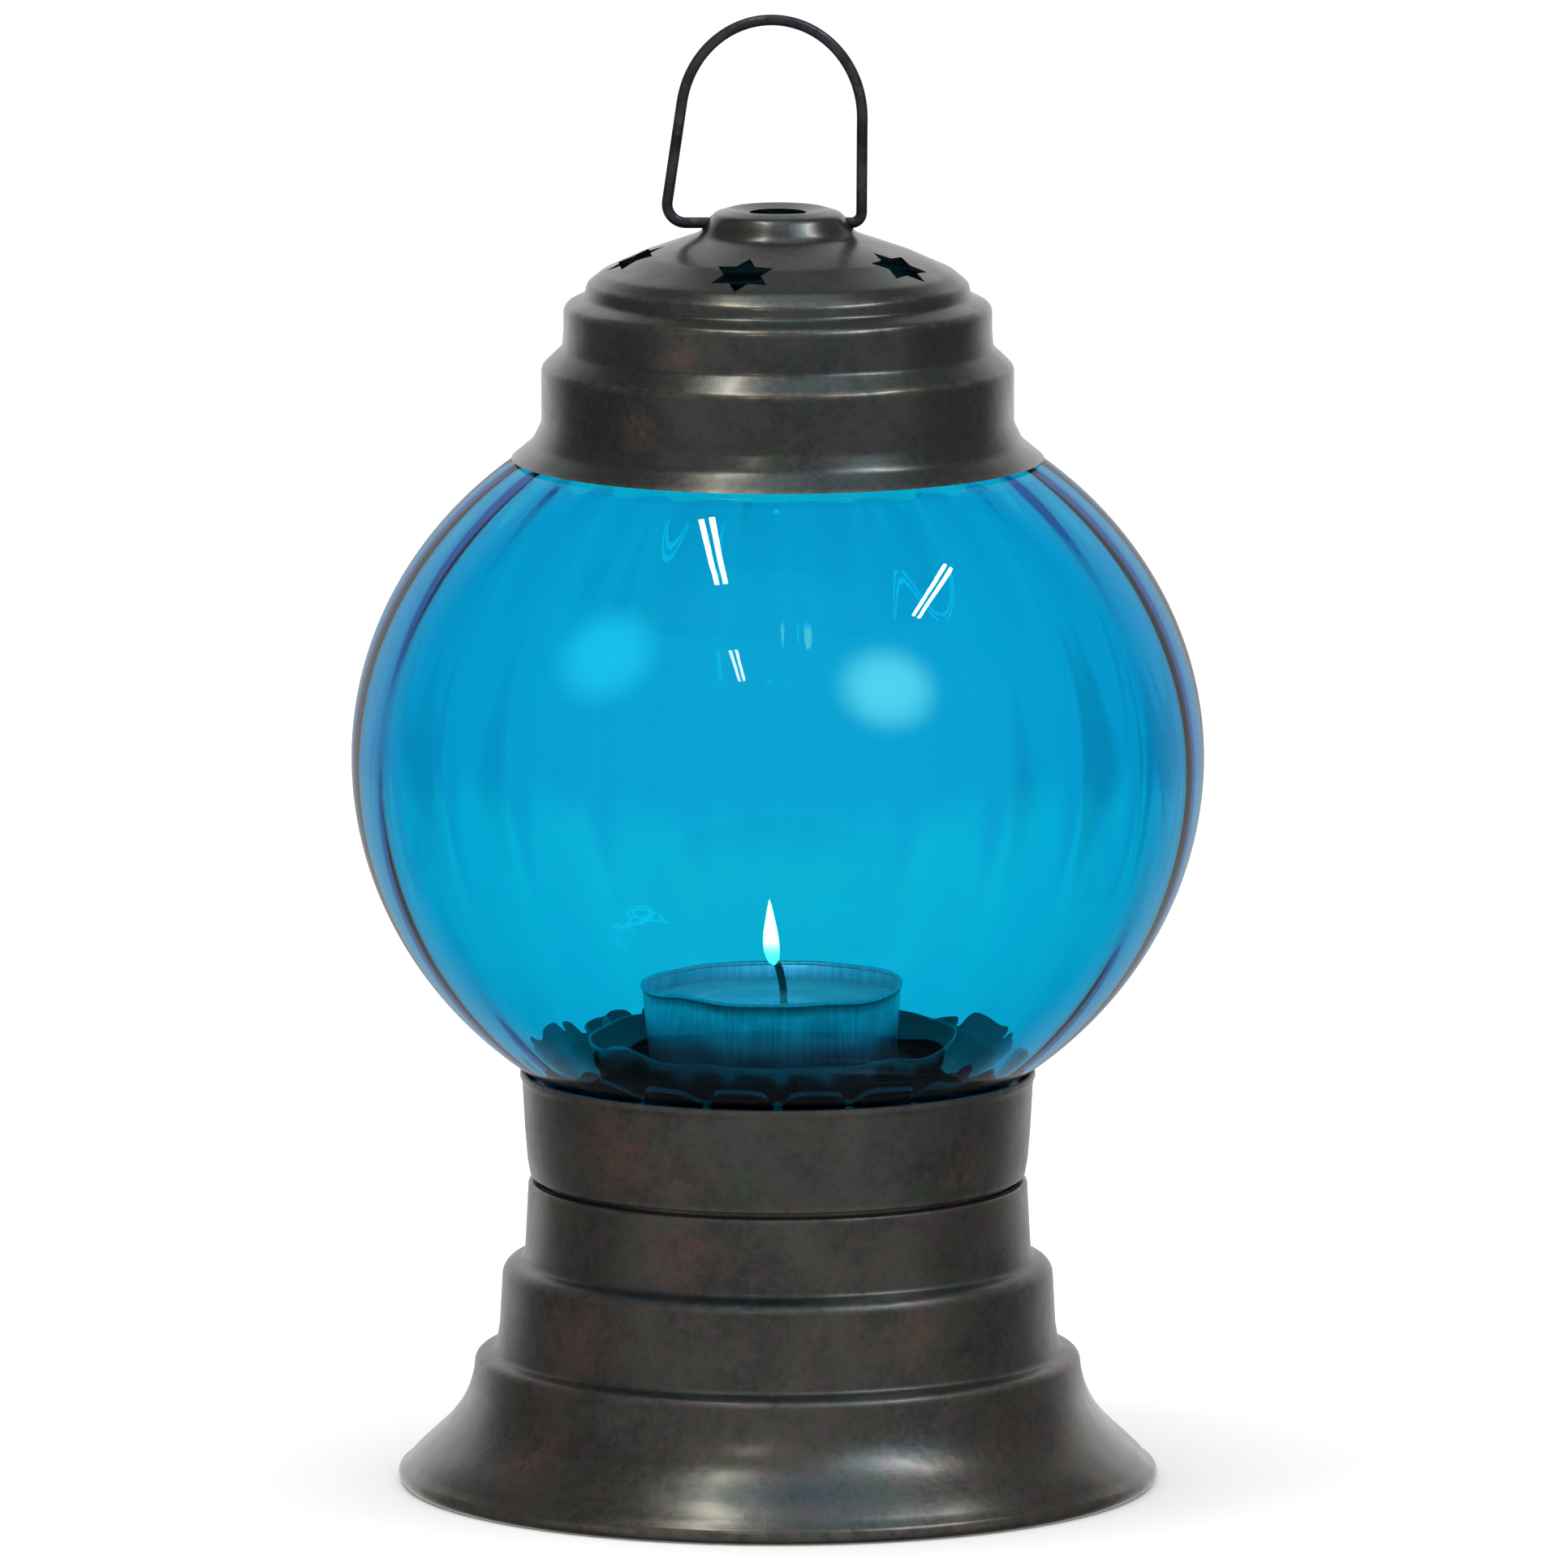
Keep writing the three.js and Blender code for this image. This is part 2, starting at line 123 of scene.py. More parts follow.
def rounded(corners, arc_step=12):
    """The corners joined up, with a true arc at each one that has a fillet."""
    points = [np.array(c[:2], float) for c in corners]
    out = [points[0]]
    for i in range(1, len(points) - 1):
        fillet = corners[i][2] if len(corners[i]) > 2 else 0
        before = points[i - 1] - points[i]
        after = points[i + 1] - points[i]
        before_length, after_length = np.linalg.norm(before), np.linalg.norm(after)
        before, after = before / before_length, after / after_length
        half = math.acos(float(np.clip(before @ after, -1, 1))) / 2
        if fillet == 0 or half > math.radians(89.5):
            out.append(points[i])
            continue
        reach = min(fillet / math.tan(half), before_length * 0.49, after_length * 0.49)
        radius = reach * math.tan(half)
        middle = (before + after) / np.linalg.norm(before + after)
        centre = points[i] + middle * radius / math.sin(half)
        sweep = math.pi - 2 * half
        steps = max(2, math.ceil(math.degrees(sweep) / arc_step))
        to_start = points[i] + before * reach - centre
        turn = math.copysign(1, before[0] * after[1] - before[1] * after[0])
        for k in range(steps + 1):
            angle = -turn * sweep * k / steps
            cos, sin = math.cos(angle), math.sin(angle)
            x, z = to_start
            out.append(centre + np.array([x * cos - z * sin, x * sin + z * cos]))
    out.append(points[-1])
    return np.array(out)


def resampled(points, step):
    """The same outline with extra points, so that no stretch is longer than step."""
    out = [points[0]]
    for a, b in zip(points[:-1], points[1:]):
        count = max(1, math.ceil(np.linalg.norm(b - a) / step))
        out.extend(a + (b - a) * k / count for k in range(1, count + 1))
    return np.array(out)


def offset(points, distance):
    """The outline moved sideways by a distance, to the left of the way that it runs."""
    along = np.diff(points, axis=0)
    along /= np.linalg.norm(along, axis=1)[:, None]
    left = np.stack([-along[:, 1], along[:, 0]], axis=1)
    before = np.vstack([left[:1], left])
    after = np.vstack([left, left[-1:]])
    mitre = (before + after) / (1 + (before * after).sum(axis=1))[:, None]
    return points + mitre * distance


def half_round(start, end, steps=6):
    """The points between start and end on the half circle that bulges to the right of the way there."""
    middle, spoke = (start + end) / 2, (start - end) / 2
    side = np.array([spoke[1], -spoke[0]])
    angles = np.linspace(0, math.pi, steps + 1)[1:-1]
    return [middle + spoke * math.cos(a) - side * math.sin(a) for a in angles]


def hemmed(face, thickness):
    """A closed section of sheet: its face, its back, and a half-round edge at each end."""
    back = offset(face, thickness)
    return np.vstack([face, half_round(face[-1], back[-1]), back[::-1], half_round(back[0], face[0])])


def bezier(p0, p1, p2, p3, steps):
    """Points along a cubic curve from p0 to p3, pulled towards p1 and p2."""
    t = np.linspace(0, 1, steps + 1)[:, None]
    p0, p1, p2, p3 = (np.array(p, float) for p in (p0, p1, p2, p3))
    return (1 - t) ** 3 * p0 + 3 * (1 - t) ** 2 * t * p1 + 3 * (1 - t) * t * t * p2 + t ** 3 * p3


# ---------------------------------------------------------------- meshes

def new_object(name, vertices, faces, sharp_degrees=38):
    """A settled mesh object in the scene. Vertices are in metres."""
    mesh = bpy.data.meshes.new(name)
    mesh.from_pydata([tuple(v) for v in vertices], [], faces)
    obj = bpy.data.objects.new(name, mesh)
    bpy.context.scene.collection.objects.link(obj)
    settle(mesh, sharp_degrees)
    return obj


def settle(mesh, sharp_degrees=38):
    """Welds doubles, points the faces out, and shades smooth but for the sharp edges."""
    work = bmesh.new()
    work.from_mesh(mesh)
    bmesh.ops.remove_doubles(work, verts=work.verts, dist=1e-7)
    bmesh.ops.dissolve_degenerate(work, edges=work.edges, dist=1e-8)
    bmesh.ops.recalc_face_normals(work, faces=work.faces)
    if work.calc_volume(signed=True) < 0:
        bmesh.ops.reverse_faces(work, faces=work.faces)
    limit = math.radians(sharp_degrees)
    for face in work.faces:
        face.smooth = True
    for edge in work.edges:
        edge.smooth = len(edge.link_faces) != 2 or edge.calc_face_angle(0) < limit
    work.to_mesh(mesh)
    work.free()
    mesh.update()


def evenly(sides):
    """Azimuths evenly round the axis."""
    return np.linspace(0, 2 * math.pi, sides, endpoint=False)


def revolve(name, section_at, azimuths, closed=True, sharp_degrees=38):
    """Turns a section about the axis. section_at(azimuth) gives its points in mm, always as many."""
    sides = len(azimuths)
    sections = np.array([section_at(a) for a in azimuths])
    count = sections.shape[1]
    radius, height = sections[..., 0], sections[..., 1]
    x = radius * np.sin(azimuths)[:, None]
    y = -radius * np.cos(azimuths)[:, None]
    vertices = np.stack([x, y, height], axis=-1).reshape(-1, 3) * MM
    last = count if closed else count - 1
    faces = []
    for i in range(sides):
        here, there = i * count, ((i + 1) % sides) * count
        for j in range(last):
            k = (j + 1) % count
            faces.append((here + j, there + j, there + k, here + k))
    return new_object(name, vertices, faces, sharp_degrees)


def turned(name, section, sides=ROUND_SIDES, closed=True):
    """One section turned about the axis. A section that isn't closed starts and ends on the axis."""
    return revolve(name, lambda azimuth: section, evenly(sides), closed)


def swept(name, path, radius, sides=20, cap_steps=4):
    """A round wire along a path in the X-Z plane, in mm, with rounded ends. radius may vary along it."""
    path = np.array(path, float)
    radii = np.broadcast_to(radius, len(path)).astype(float)
    along = np.gradient(path, axis=0)
    along /= np.linalg.norm(along, axis=1)[:, None]
    rings = list(zip(path, along, radii))
    for end, sign in ((0, -1), (-1, 1)):
        centre, tangent, r = rings[end]
        dome = []
        for k in range(1, cap_steps + 1):
            lift = math.sin(math.pi / 2 * k / cap_steps)
            shrink = max(1e-3, math.cos(math.pi / 2 * k / cap_steps))
            dome.append((centre + sign * tangent * r * lift * 0.6, tangent, r * shrink))
        rings = dome[::-1] + rings if end == 0 else rings + dome
    vertices = []
    for centre, tangent, r in rings:
        side = np.array([-tangent[1], tangent[0]])
        for angle in evenly(sides):
            flat = centre + side * r * math.cos(angle)
            vertices.append((flat[0] * MM, r * math.sin(angle) * MM, flat[1] * MM))
    faces = []
    for i in range(len(rings) - 1):
        for j in range(sides):
            k = (j + 1) % sides
            faces.append((i * sides + j, (i + 1) * sides + j, (i + 1) * sides + k, i * sides + k))
    faces.append(tuple(range(sides)))
    faces.append(tuple(range((len(rings) - 1) * sides, len(rings) * sides)))
    return new_object(name, vertices, faces, 60)


def cut(obj, cutters):
    """Cuts closed shapes out of a piece, and removes them."""
    for cutter in cutters:
        modifier = obj.modifiers.new("cut", "BOOLEAN")
        modifier.operation = "DIFFERENCE"
        modifier.solver = "EXACT"
        modifier.object = cutter
    depsgraph = bpy.context.evaluated_depsgraph_get()
    made = bpy.data.meshes.new_from_object(obj.evaluated_get(depsgraph))
    obj.modifiers.clear()
    obj.data = made
    for cutter in cutters:
        bpy.data.objects.remove(cutter)
    settle(made)


def dented(obj, depth, size, seed):
    """Moves the surface by slow, shallow noise, as hand-finished sheet has. depth and size in mm."""
    shift = Vector((seed * 7.3, seed * 3.1, seed * 5.7))
    for vertex in obj.data.vertices:
        flat = Vector((vertex.co.x, vertex.co.y, 0))
        if flat.length < 1e-5:
            continue
        swell = noise.noise(vertex.co / (size * MM) + shift) * depth * MM
        vertex.co += flat.normalized() * swell
    obj.data.update()


def paint_wear(obj, crowns, reach=1.3):
    """Stores how rubbed each point is: 1 on a crown of the outline, and 0 at a distance of reach mm."""
    count = len(obj.data.vertices)
    co = np.zeros(count * 3)
    obj.data.vertices.foreach_get("co", co)
    co = co.reshape(-1, 3) / MM
    place = np.stack([np.hypot(co[:, 0], co[:, 1]), co[:, 2]], axis=1)
    nearest = np.full(count, 1e9)
    for crown in crowns:
        nearest = np.minimum(nearest, np.linalg.norm(place - np.array(crown), axis=1))
    wear = np.clip(1 - nearest / reach, 0, 1)
    attribute = obj.data.attributes.new("wear", "FLOAT", "POINT")
    attribute.data.foreach_set("value", wear.astype(np.float32))


def place(obj, material, body, slot, *nodes):
    """Gives a piece its material and its body, and hides the CAD nodes that it stands for. Its slot is not
    used.
    """
    obj.data.materials.clear()
    obj.data.materials.append(material)
    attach(obj, body)
    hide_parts(*nodes)
    return obj


# ---------------------------------------------------------------- material nodes

class Graph:
    """A material with one Principled shader. Most calls add a node and return its output."""

    def __init__(self, name):
        self.material = bpy.data.materials.new(name)
        self.material.use_nodes = True
        self.tree = self.material.node_tree
        self.shader = self.tree.nodes["Principled BSDF"]
        self.output = self.tree.nodes["Material Output"]
        self.place = self.add("ShaderNodeTexCoord").outputs["Object"]

    def add(self, kind, **settings):
        node = self.tree.nodes.new(kind)
        for key, value in settings.items():
            setattr(node, key, value)
        return node

    def feed(self, socket, value):
        """Links an output to a socket, or sets a plain value on it."""
        if isinstance(value, bpy.types.NodeSocket):
            self.tree.links.new(value, socket)
        else:
            socket.default_value = value

    def set(self, **values):
        """Feeds the shader's own sockets, whose names have _ for each space here."""
        for name, value in values.items():
            self.feed(self.shader.inputs[name.replace("_", " ")], value)

    def stretched(self, x, y, z):
        """The place on the piece, with each axis times its number."""
        node = self.add("ShaderNodeVectorMath", operation="MULTIPLY")
        self.feed(node.inputs[0], self.place)
        node.inputs[1].default_value = (x, y, z)
        return node.outputs[0]

    def noise(self, scale, detail=4.0, rough=0.55, distortion=0.0, vector=None):
        node = self.add("ShaderNodeTexNoise")
        self.feed(node.inputs["Vector"], vector or self.place)
        node.inputs["Scale"].default_value = scale
        node.inputs["Detail"].default_value = detail
        node.inputs["Roughness"].default_value = rough
        node.inputs["Distortion"].default_value = distortion
        return node.outputs["Fac"]

    def spread(self, value, low, high, to_low=0.0, to_high=1.0):
        """The value carried softly from low..high to to_low..to_high, and held at the ends."""
        node = self.add("ShaderNodeMapRange", interpolation_type="SMOOTHSTEP")
        self.feed(node.inputs["Value"], value)
        node.inputs["From Min"].default_value = low
        node.inputs["From Max"].default_value = high
        node.inputs["To Min"].default_value = to_low
        node.inputs["To Max"].default_value = to_high
        return node.outputs["Result"]

    def math(self, operation, a, b=0.0):
        node = self.add("ShaderNodeMath", operation=operation)
        self.feed(node.inputs[0], a)
        self.feed(node.inputs[1], b)
        return node.outputs[0]

    def mix(self, share, a, b):
        """Colour a where the share is 0, and colour b where it is 1."""
        node = self.add("ShaderNodeMix", data_type="RGBA")
        self.feed(node.inputs["Factor"], share)
        for socket, value in ((node.inputs[6], a), (node.inputs[7], b)):
            self.feed(socket, value if isinstance(value, bpy.types.NodeSocket) else (*value, 1.0))
        return node.outputs[2]

    def near(self, point, reach):
        """1 at a point in mm, falling to 0 at a distance of reach mm."""
        node = self.add("ShaderNodeVectorMath", operation="DISTANCE")
        self.feed(node.inputs[0], self.place)
        node.inputs[1].default_value = [c * MM for c in point]
        return self.spread(node.outputs["Value"], 0.0, reach * MM, 1.0, 0.0)

    def across(self):
        """How far the surface faces away from the lantern's axis, from -1 to 1."""
        spoke = self.stretched(1, 1, 0)
        outward = self.add("ShaderNodeVectorMath", operation="NORMALIZE")
        self.feed(outward.inputs[0], spoke)
        node = self.add("ShaderNodeVectorMath", operation="DOT_PRODUCT")
        self.feed(node.inputs[0], outward.outputs[0])
        self.feed(node.inputs[1], self.add("ShaderNodeNewGeometry").outputs["True Normal"])
        return node.outputs["Value"]

    def part(self, axis):
        """One coordinate of the place on the piece, in metres."""
        node = self.add("ShaderNodeSeparateXYZ")
        self.feed(node.inputs[0], self.place)
        return node.outputs[axis]

    def bump(self, height, strength, distance, normal=None):
        """A normal tilted by a height, on top of another normal if there is one. distance in mm."""
        node = self.add("ShaderNodeBump")
        self.feed(node.inputs["Height"], height)
        node.inputs["Strength"].default_value = strength
        node.inputs["Distance"].default_value = distance * MM
        if normal is not None:
            self.feed(node.inputs["Normal"], normal)
        return node.outputs["Normal"]


# ---------------------------------------------------------------- materials

PATINA_DARK = (0.062, 0.062, 0.060)
PATINA_PALE = (0.120, 0.114, 0.106)
PATINA_GREEN = (0.078, 0.104, 0.070)
PATINA_PLUM = (0.140, 0.096, 0.106)
COPPER_RED = (0.240, 0.140, 0.115)
WORN_EDGE = (0.240, 0.195, 0.165)
# Near-black for soot and painted shade on the surfaces that face the axis.
SOOT_AND_SHADE = (0.012, 0.012, 0.013)


def antique_metal(name, tone, copper_points=(), seed=0.0, dullness=0.0, dull_above=0.0):
    """Antiqued sheet: cloudy grey-brown, copper showing in patches, worn edges, and soot with painted shade
    inside.

    The tone multiplies the patina's colours. The dullness is added to its roughness above a
    height in mm. Each copper point is a place in mm and its reach."""
    patinas = (PATINA_DARK, PATINA_PALE, PATINA_GREEN, PATINA_PLUM)
    dark, pale, green, plum = (tuple(np.multiply(patina, tone)) for patina in patinas)
    g = Graph(name)
    moved = g.add("ShaderNodeVectorMath", operation="ADD")
    g.feed(moved.inputs[0], g.place)
    moved.inputs[1].default_value = (seed, seed * 0.7, seed * 0.4)
    place_here = moved.outputs[0]
    clouds = g.noise(70, 5, 0.6, 0.6, place_here)
    speckle = g.noise(900, 3, 0.7, 0.0, place_here)
    fine = g.noise(2600, 2, 0.6, 0.0, place_here)
    colour = g.mix(g.spread(clouds, 0.34, 0.68), dark, pale)
    colour = g.mix(g.spread(g.noise(120, 4, 0.6, 0.4, place_here), 0.50, 0.72, 0.0, 0.6), colour, green)
    colour = g.mix(g.spread(g.noise(330, 3, 0.7, 0.3, place_here), 0.46, 0.70, 0.0, 0.7), colour, plum)
    colour = g.mix(g.spread(speckle, 0.42, 0.72, 0.0, 0.55), colour, pale)
    colour = g.mix(g.spread(speckle, 0.50, 0.28, 0.0, 0.45), colour, dark)

    patches = g.spread(g.noise(38, 4, 0.6, 1.2, place_here), 0.56, 0.76, 0.0, 0.35)
    ragged = g.spread(g.noise(170, 5, 0.65, 1.0, place_here), 0.38, 0.62, 0.15, 1.0)
    for point, reach in copper_points:
        spot = g.math("MULTIPLY", g.near(point, reach), ragged)
        patches = g.math("MAXIMUM", patches, spot)
    copper = g.math("MULTIPLY", patches, g.spread(speckle, 0.20, 0.75, 0.35, 1.0))
    colour = g.mix(copper, colour, COPPER_RED)

    wear = g.add("ShaderNodeAttribute", attribute_name="wear").outputs["Fac"]
    scuffs = g.spread(g.noise(420, 4, 0.65), 0.30, 0.70)
    rubbed = g.math("MULTIPLY", g.spread(wear, 0.2, 1.0, 0.0, 0.75), scuffs)
    colour = g.mix(rubbed, colour, WORN_EDGE)

    # Soot and painted shade: surfaces facing the axis, inside the hollows, are darkened to near-black and
    # made rougher.
    inward = g.math("MULTIPLY", g.across(), -1.0)
    soot_and_shade = g.spread(inward, 0.05, 0.5, 0.0, 0.85)
    colour = g.mix(soot_and_shade, colour, SOOT_AND_SHADE)

    gloss = g.spread(clouds, 0.30, 0.70, 0.30, 0.22)
    dull = g.spread(g.part("Z"), dull_above * MM, (dull_above + 5) * MM, 0.0, dullness)
    gloss = g.math("ADD", gloss, dull)
    gloss = g.math("ADD", gloss, g.math("MULTIPLY", speckle, 0.08))
    gloss = g.math("ADD", gloss, g.math("MULTIPLY", copper, 0.10))
    gloss = g.math("ADD", gloss, g.math("MULTIPLY", soot_and_shade, 0.35))

    spinning = g.noise(1.0, 3, 0.6, 0.0, g.stretched(60, 60, 2600))
    normal = g.bump(spinning, 0.10, 0.05)
    normal = g.bump(fine, 0.12, 0.04, normal)
    normal = g.bump(clouds, 0.25, 0.25, normal)
    g.set(Base_Color=colour, Metallic=0.92, Roughness=gloss, Normal=normal)
    g.set(Coat_Weight=0.22, Coat_Roughness=0.16, Coat_IOR=1.5)
    return g.material


def dark_wire():
    """Blued steel wire with a few rubbed places."""
    g = Graph("dark_wire")
    clouds = g.noise(160, 4, 0.6)
    rubbed = g.spread(g.noise(420, 5, 0.7), 0.56, 0.74, 0.0, 0.7)
    colour = g.mix(g.spread(clouds, 0.35, 0.65), (0.035, 0.040, 0.048), (0.085, 0.092, 0.104))
    colour = g.mix(rubbed, colour, (0.18, 0.165, 0.16))
    drawn = g.noise(1.0, 2, 0.6, 0.0, g.stretched(3500, 3500, 220))
    normal = g.bump(drawn, 0.15, 0.03)
    g.set(Base_Color=colour, Metallic=0.9, Roughness=g.spread(clouds, 0.3, 0.7, 0.42, 0.28), Normal=normal)
    return g.material


def blue_glass():
    """Clear blown glass. Its blue is taken up along the way that light goes through the wall."""
    g = Graph("blue_glass")
    ripple = g.noise(24, 3, 0.5, 0.4, g.stretched(1.0, 1.0, 0.35))
    cord = g.noise(85, 2, 0.5, 0.8, g.stretched(1.0, 1.0, 0.5))
    normal = g.bump(ripple, 0.06, 1.0)
    normal = g.bump(cord, 0.03, 0.4, normal)
    g.set(Base_Color=(1.0, 1.0, 1.0, 1.0), Roughness=0.0, IOR=1.5, Transmission_Weight=1.0, Normal=normal)
    tint = g.add("ShaderNodeVolumeAbsorption")
    tint.inputs["Color"].default_value = (0.0, 0.866, 0.941, 1.0)
    tint.inputs["Density"].default_value = 1400.0
    g.tree.links.new(tint.outputs[0], g.output.inputs["Volume"])
    return g.material


def aluminium_foil():
    """Bright drawn foil with fine upright draw lines and small dents."""
    g = Graph("aluminium_foil")
    lines = g.noise(1.0, 3, 0.6, 0.0, g.stretched(2400, 2400, 60))
    dents = g.noise(260, 3, 0.5)
    colour = g.mix(g.spread(lines, 0.3, 0.7), (0.60, 0.61, 0.63), (0.80, 0.81, 0.82))
    normal = g.bump(lines, 0.12, 0.03)
    normal = g.bump(dents, 0.25, 0.12, normal)
    g.set(Base_Color=colour, Metallic=1.0, Roughness=g.spread(dents, 0.3, 0.7, 0.40, 0.55), Normal=normal)
    return g.material


def paraffin():
    """Off-white wax, glossy and clearer where it has melted round the wick."""
    g = Graph("wax")
    clouds = g.noise(180, 4, 0.6)
    melted = g.near((0, 0, WAX_TOP_Z), 13)
    colour = g.mix(g.spread(clouds, 0.3, 0.7), (0.80, 0.76, 0.68), (0.90, 0.87, 0.80))
    colour = g.mix(g.math("MULTIPLY", melted, 0.6), colour, (0.78, 0.70, 0.56))
    normal = g.bump(g.noise(700, 3, 0.6), 0.10, 0.05)
    g.set(Base_Color=colour, Roughness=g.spread(melted, 0.2, 0.8, 0.46, 0.10), Normal=normal)
    g.set(Subsurface_Weight=0.5, Subsurface_Radius=(0.006, 0.004, 0.003), Subsurface_Scale=1.0)
    return g.material


def wick_cotton():
    """Braided cotton, cream low down and charred to black at the tip, with an ember at the very end."""
    g = Graph("wick_cotton")
    height = g.part("Z")
    braid = g.add("ShaderNodeTexWave", wave_type="BANDS", bands_direction="DIAGONAL")
    g.feed(braid.inputs["Vector"], g.place)
    braid.inputs["Scale"].default_value = 900
    braid.inputs["Distortion"].default_value = 2.0
    charred = g.spread(height, (WAX_TOP_Z + 0.2) * MM, (WAX_TOP_Z + 1.6) * MM)
    colour = g.mix(charred, (0.55, 0.48, 0.36), (0.012, 0.010, 0.010))
    ember = g.spread(height, (WICK_TOP_Z - 1.0) * MM, WICK_TOP_Z * MM)
    g.set(Base_Color=colour, Roughness=0.9, Normal=g.bump(braid.outputs["Fac"], 0.6, 0.1))
    g.set(Emission_Color=g.mix(ember, (0.0, 0.0, 0.0), (1.0, 0.22, 0.04)), Emission_Strength=3.0)
    return g.material


def flame_light(bottom, top):
    """A candle flame: faint blue at the root, white-gold in the body, orange at the tip."""
    g = Graph("flame")
    height = g.part("Z")
    share = g.spread(height, bottom * MM, top * MM)
    body = g.mix(g.spread(share, 0.02, 0.30), (0.10, 0.25, 0.9), (1.0, 0.30, 0.12))
    body = g.mix(g.spread(share, 0.75, 1.0), body, (1.0, 0.22, 0.06))
    flicker = g.noise(300, 2, 0.5)
    body = g.mix(g.spread(flicker, 0.3, 0.8, 0.0, 0.15), body, (1.0, 0.4, 0.2))
    g.set(Base_Color=(0.0, 0.0, 0.0, 1.0), Roughness=1.0, Specular_IOR_Level=0.0)
    g.set(Emission_Color=body, Emission_Strength=60.0)
    return g.material


# ---------------------------------------------------------------- base

def base_pedestal():
    """A rolled foot, a sweeping flare, two rounded steps and a shoulder."""
    bead_radius = 1.3
    bead = [(FOOT_RADIUS - bead_radius + bead_radius * math.sin(a), bead_radius - bead_radius * math.cos(a))
            for a in np.radians(np.arange(0, 141, 10))]
    flare = bezier((53.9, 2.9), (50.4, 7.2), (45.4, 9.0), (44.1, 16.6), 24)
    wall = [
        *flare,
        (43.9, 18.8, 2.2),
        (41.0, 19.5, 1.1),
        (40.4, 23.0),
        (39.9, 32.0, 2.3),
        (36.8, 33.0, 1.1),
        (36.6, 36.5),
        (36.2, SHOULDER_Z, 1.4),
        (35.0, SHOULDER_Z),
    ]
    face = resampled(rounded(wall), 1.2)
    back = offset(face, SHEET)[::-1]
    curl_end = [(FOOT_RADIUS - 2.55, 1.9), (FOOT_RADIUS - 2.55, 0.35), (FOOT_RADIUS - 2.2, 0.0)]
    section = np.vstack([bead, face, back, curl_end])
    piece = turned("base_shell", section)
    dented(piece, 0.05, 22, 1)
    paint_wear(piece, [(43.9, 18.7), (39.9, 31.8), (36.2, SHOULDER_Z), (FOOT_RADIUS, 1.6)])
    copper = [((-30, -28, 26), 13), ((-14, -34, 38), 9), ((20, -33, 27), 7), ((-36, -33, 10), 10)]
    metal = antique_metal("antique_metal_base", (1.16, 1.19, 1.14), copper, dullness=0.12, dull_above=12)
    return place(piece, metal, "base", "antique_metal", "base_pedestal")


def base_neck():
    """The inverted cup that the collar slides over."""
    radius, bottom, top = radius_mm("base_neck"), bottom_mm("base_neck"), top_mm("base_neck")
    wall = [
        (radius, bottom),
        (radius, top, 1.2),
        (8.1, top, 0.6),
        (6.9, top - 1.2, 0.6),
        (1.3, top - 1.2),
    ]
    piece = turned("neck_cup", hemmed(resampled(rounded(wall), 2.0), SHEET), 192)
    paint_wear(piece, [(radius, top)])
    metal = antique_metal("antique_metal_neck", (1.0, 1.0, 1.0), seed=0.31)
    return place(piece, metal, "base", "antique_metal", "base_neck")


def candle_cup():
    """The dish round the tealight, with a rolled rim and a dimple that sits in the neck's."""
    dimple = 1.2
    floor_z = bottom_mm("candle_cup") + dimple + SHEET
    inside = CUP_RADIUS - SHEET
    wall = [
        (inside, CUP_RIM_Z - 0.1),
        (inside, floor_z, 1.8),
        (7.5, floor_z, 0.6),
        (6.3, floor_z - dimple, 0.6),
        (1.3, floor_z - dimple),
    ]
    piece = turned("candle_dish", hemmed(resampled(rounded(wall), 2.0), SHEET), 192)
    paint_wear(piece, [(inside, CUP_RIM_Z)], 0.9)
    metal = antique_metal("antique_metal_cup", (1.3, 1.3, 1.3), seed=0.17)
    return place(piece, metal, "base", "antique_metal", "candle_cup")


def cup_rivet():
    """The rivet through the dimples, with a domed head on each side."""
    low, high = (c.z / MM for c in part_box("candle_cup_rivet"))
    section = rounded([
        (0, high),
        (2.4, high - 0.1, 0.6),
        (3.2, high - 0.8, 0.2),
        (1.2, high - 0.8),
        (1.2, low + 0.8),
        (2.4, low + 0.8, 0.2),
        (1.7, low, 0.4),
        (0, low),
    ])
    piece = turned("dish_rivet", section, 48, closed=False)
    paint_wear(piece, [(2.4, high), (2.4, low)])
    metal = antique_metal("antique_metal_rivet", (1.3, 1.3, 1.3), seed=0.5)
    return place(piece, metal, "base", "antique_metal", "candle_cup_rivet")


# ---------------------------------------------------------------- tealight

def tealight_can():
    """A drawn foil cup with a small rolled bead at its rim."""
    bead = 0.35
    outer = [
        (0, CAN_BOTTOM_Z + 0.35),
        (CAN_RADIUS - 3.0, CAN_BOTTOM_Z + 0.35, 0.5),
        (CAN_RADIUS - 2.2, CAN_BOTTOM_Z, 0.5),
        (CAN_RADIUS - 0.7, CAN_BOTTOM_Z, 0.9),
        (CAN_RADIUS - 0.35, CAN_TOP_Z - 2 * bead - 0.2, 0.3),
    ]
    rim_centre = np.array([CAN_RADIUS - bead, CAN_TOP_Z - bead])
    rim = [rim_centre + bead * np.array([math.cos(a), math.sin(a)])
           for a in np.radians(range(-60, 241, 30))]
    inner = [
        (CAN_RADIUS - 0.62, CAN_TOP_Z - 2 * bead - 0.2),
        (CAN_RADIUS - 1.0, CAN_BOTTOM_Z + 0.35, 0.6),
        (0, CAN_BOTTOM_Z + 0.5),
    ]
    section = np.vstack([resampled(rounded(outer), 1.5), rim, resampled(rounded(inner), 1.5)])
    piece = turned("foil_can", section, 160, closed=False)
    dented(piece, 0.05, 7, 5)
    return place(piece, aluminium_foil(), "tealight", "aluminium_foil", "tealight_can")


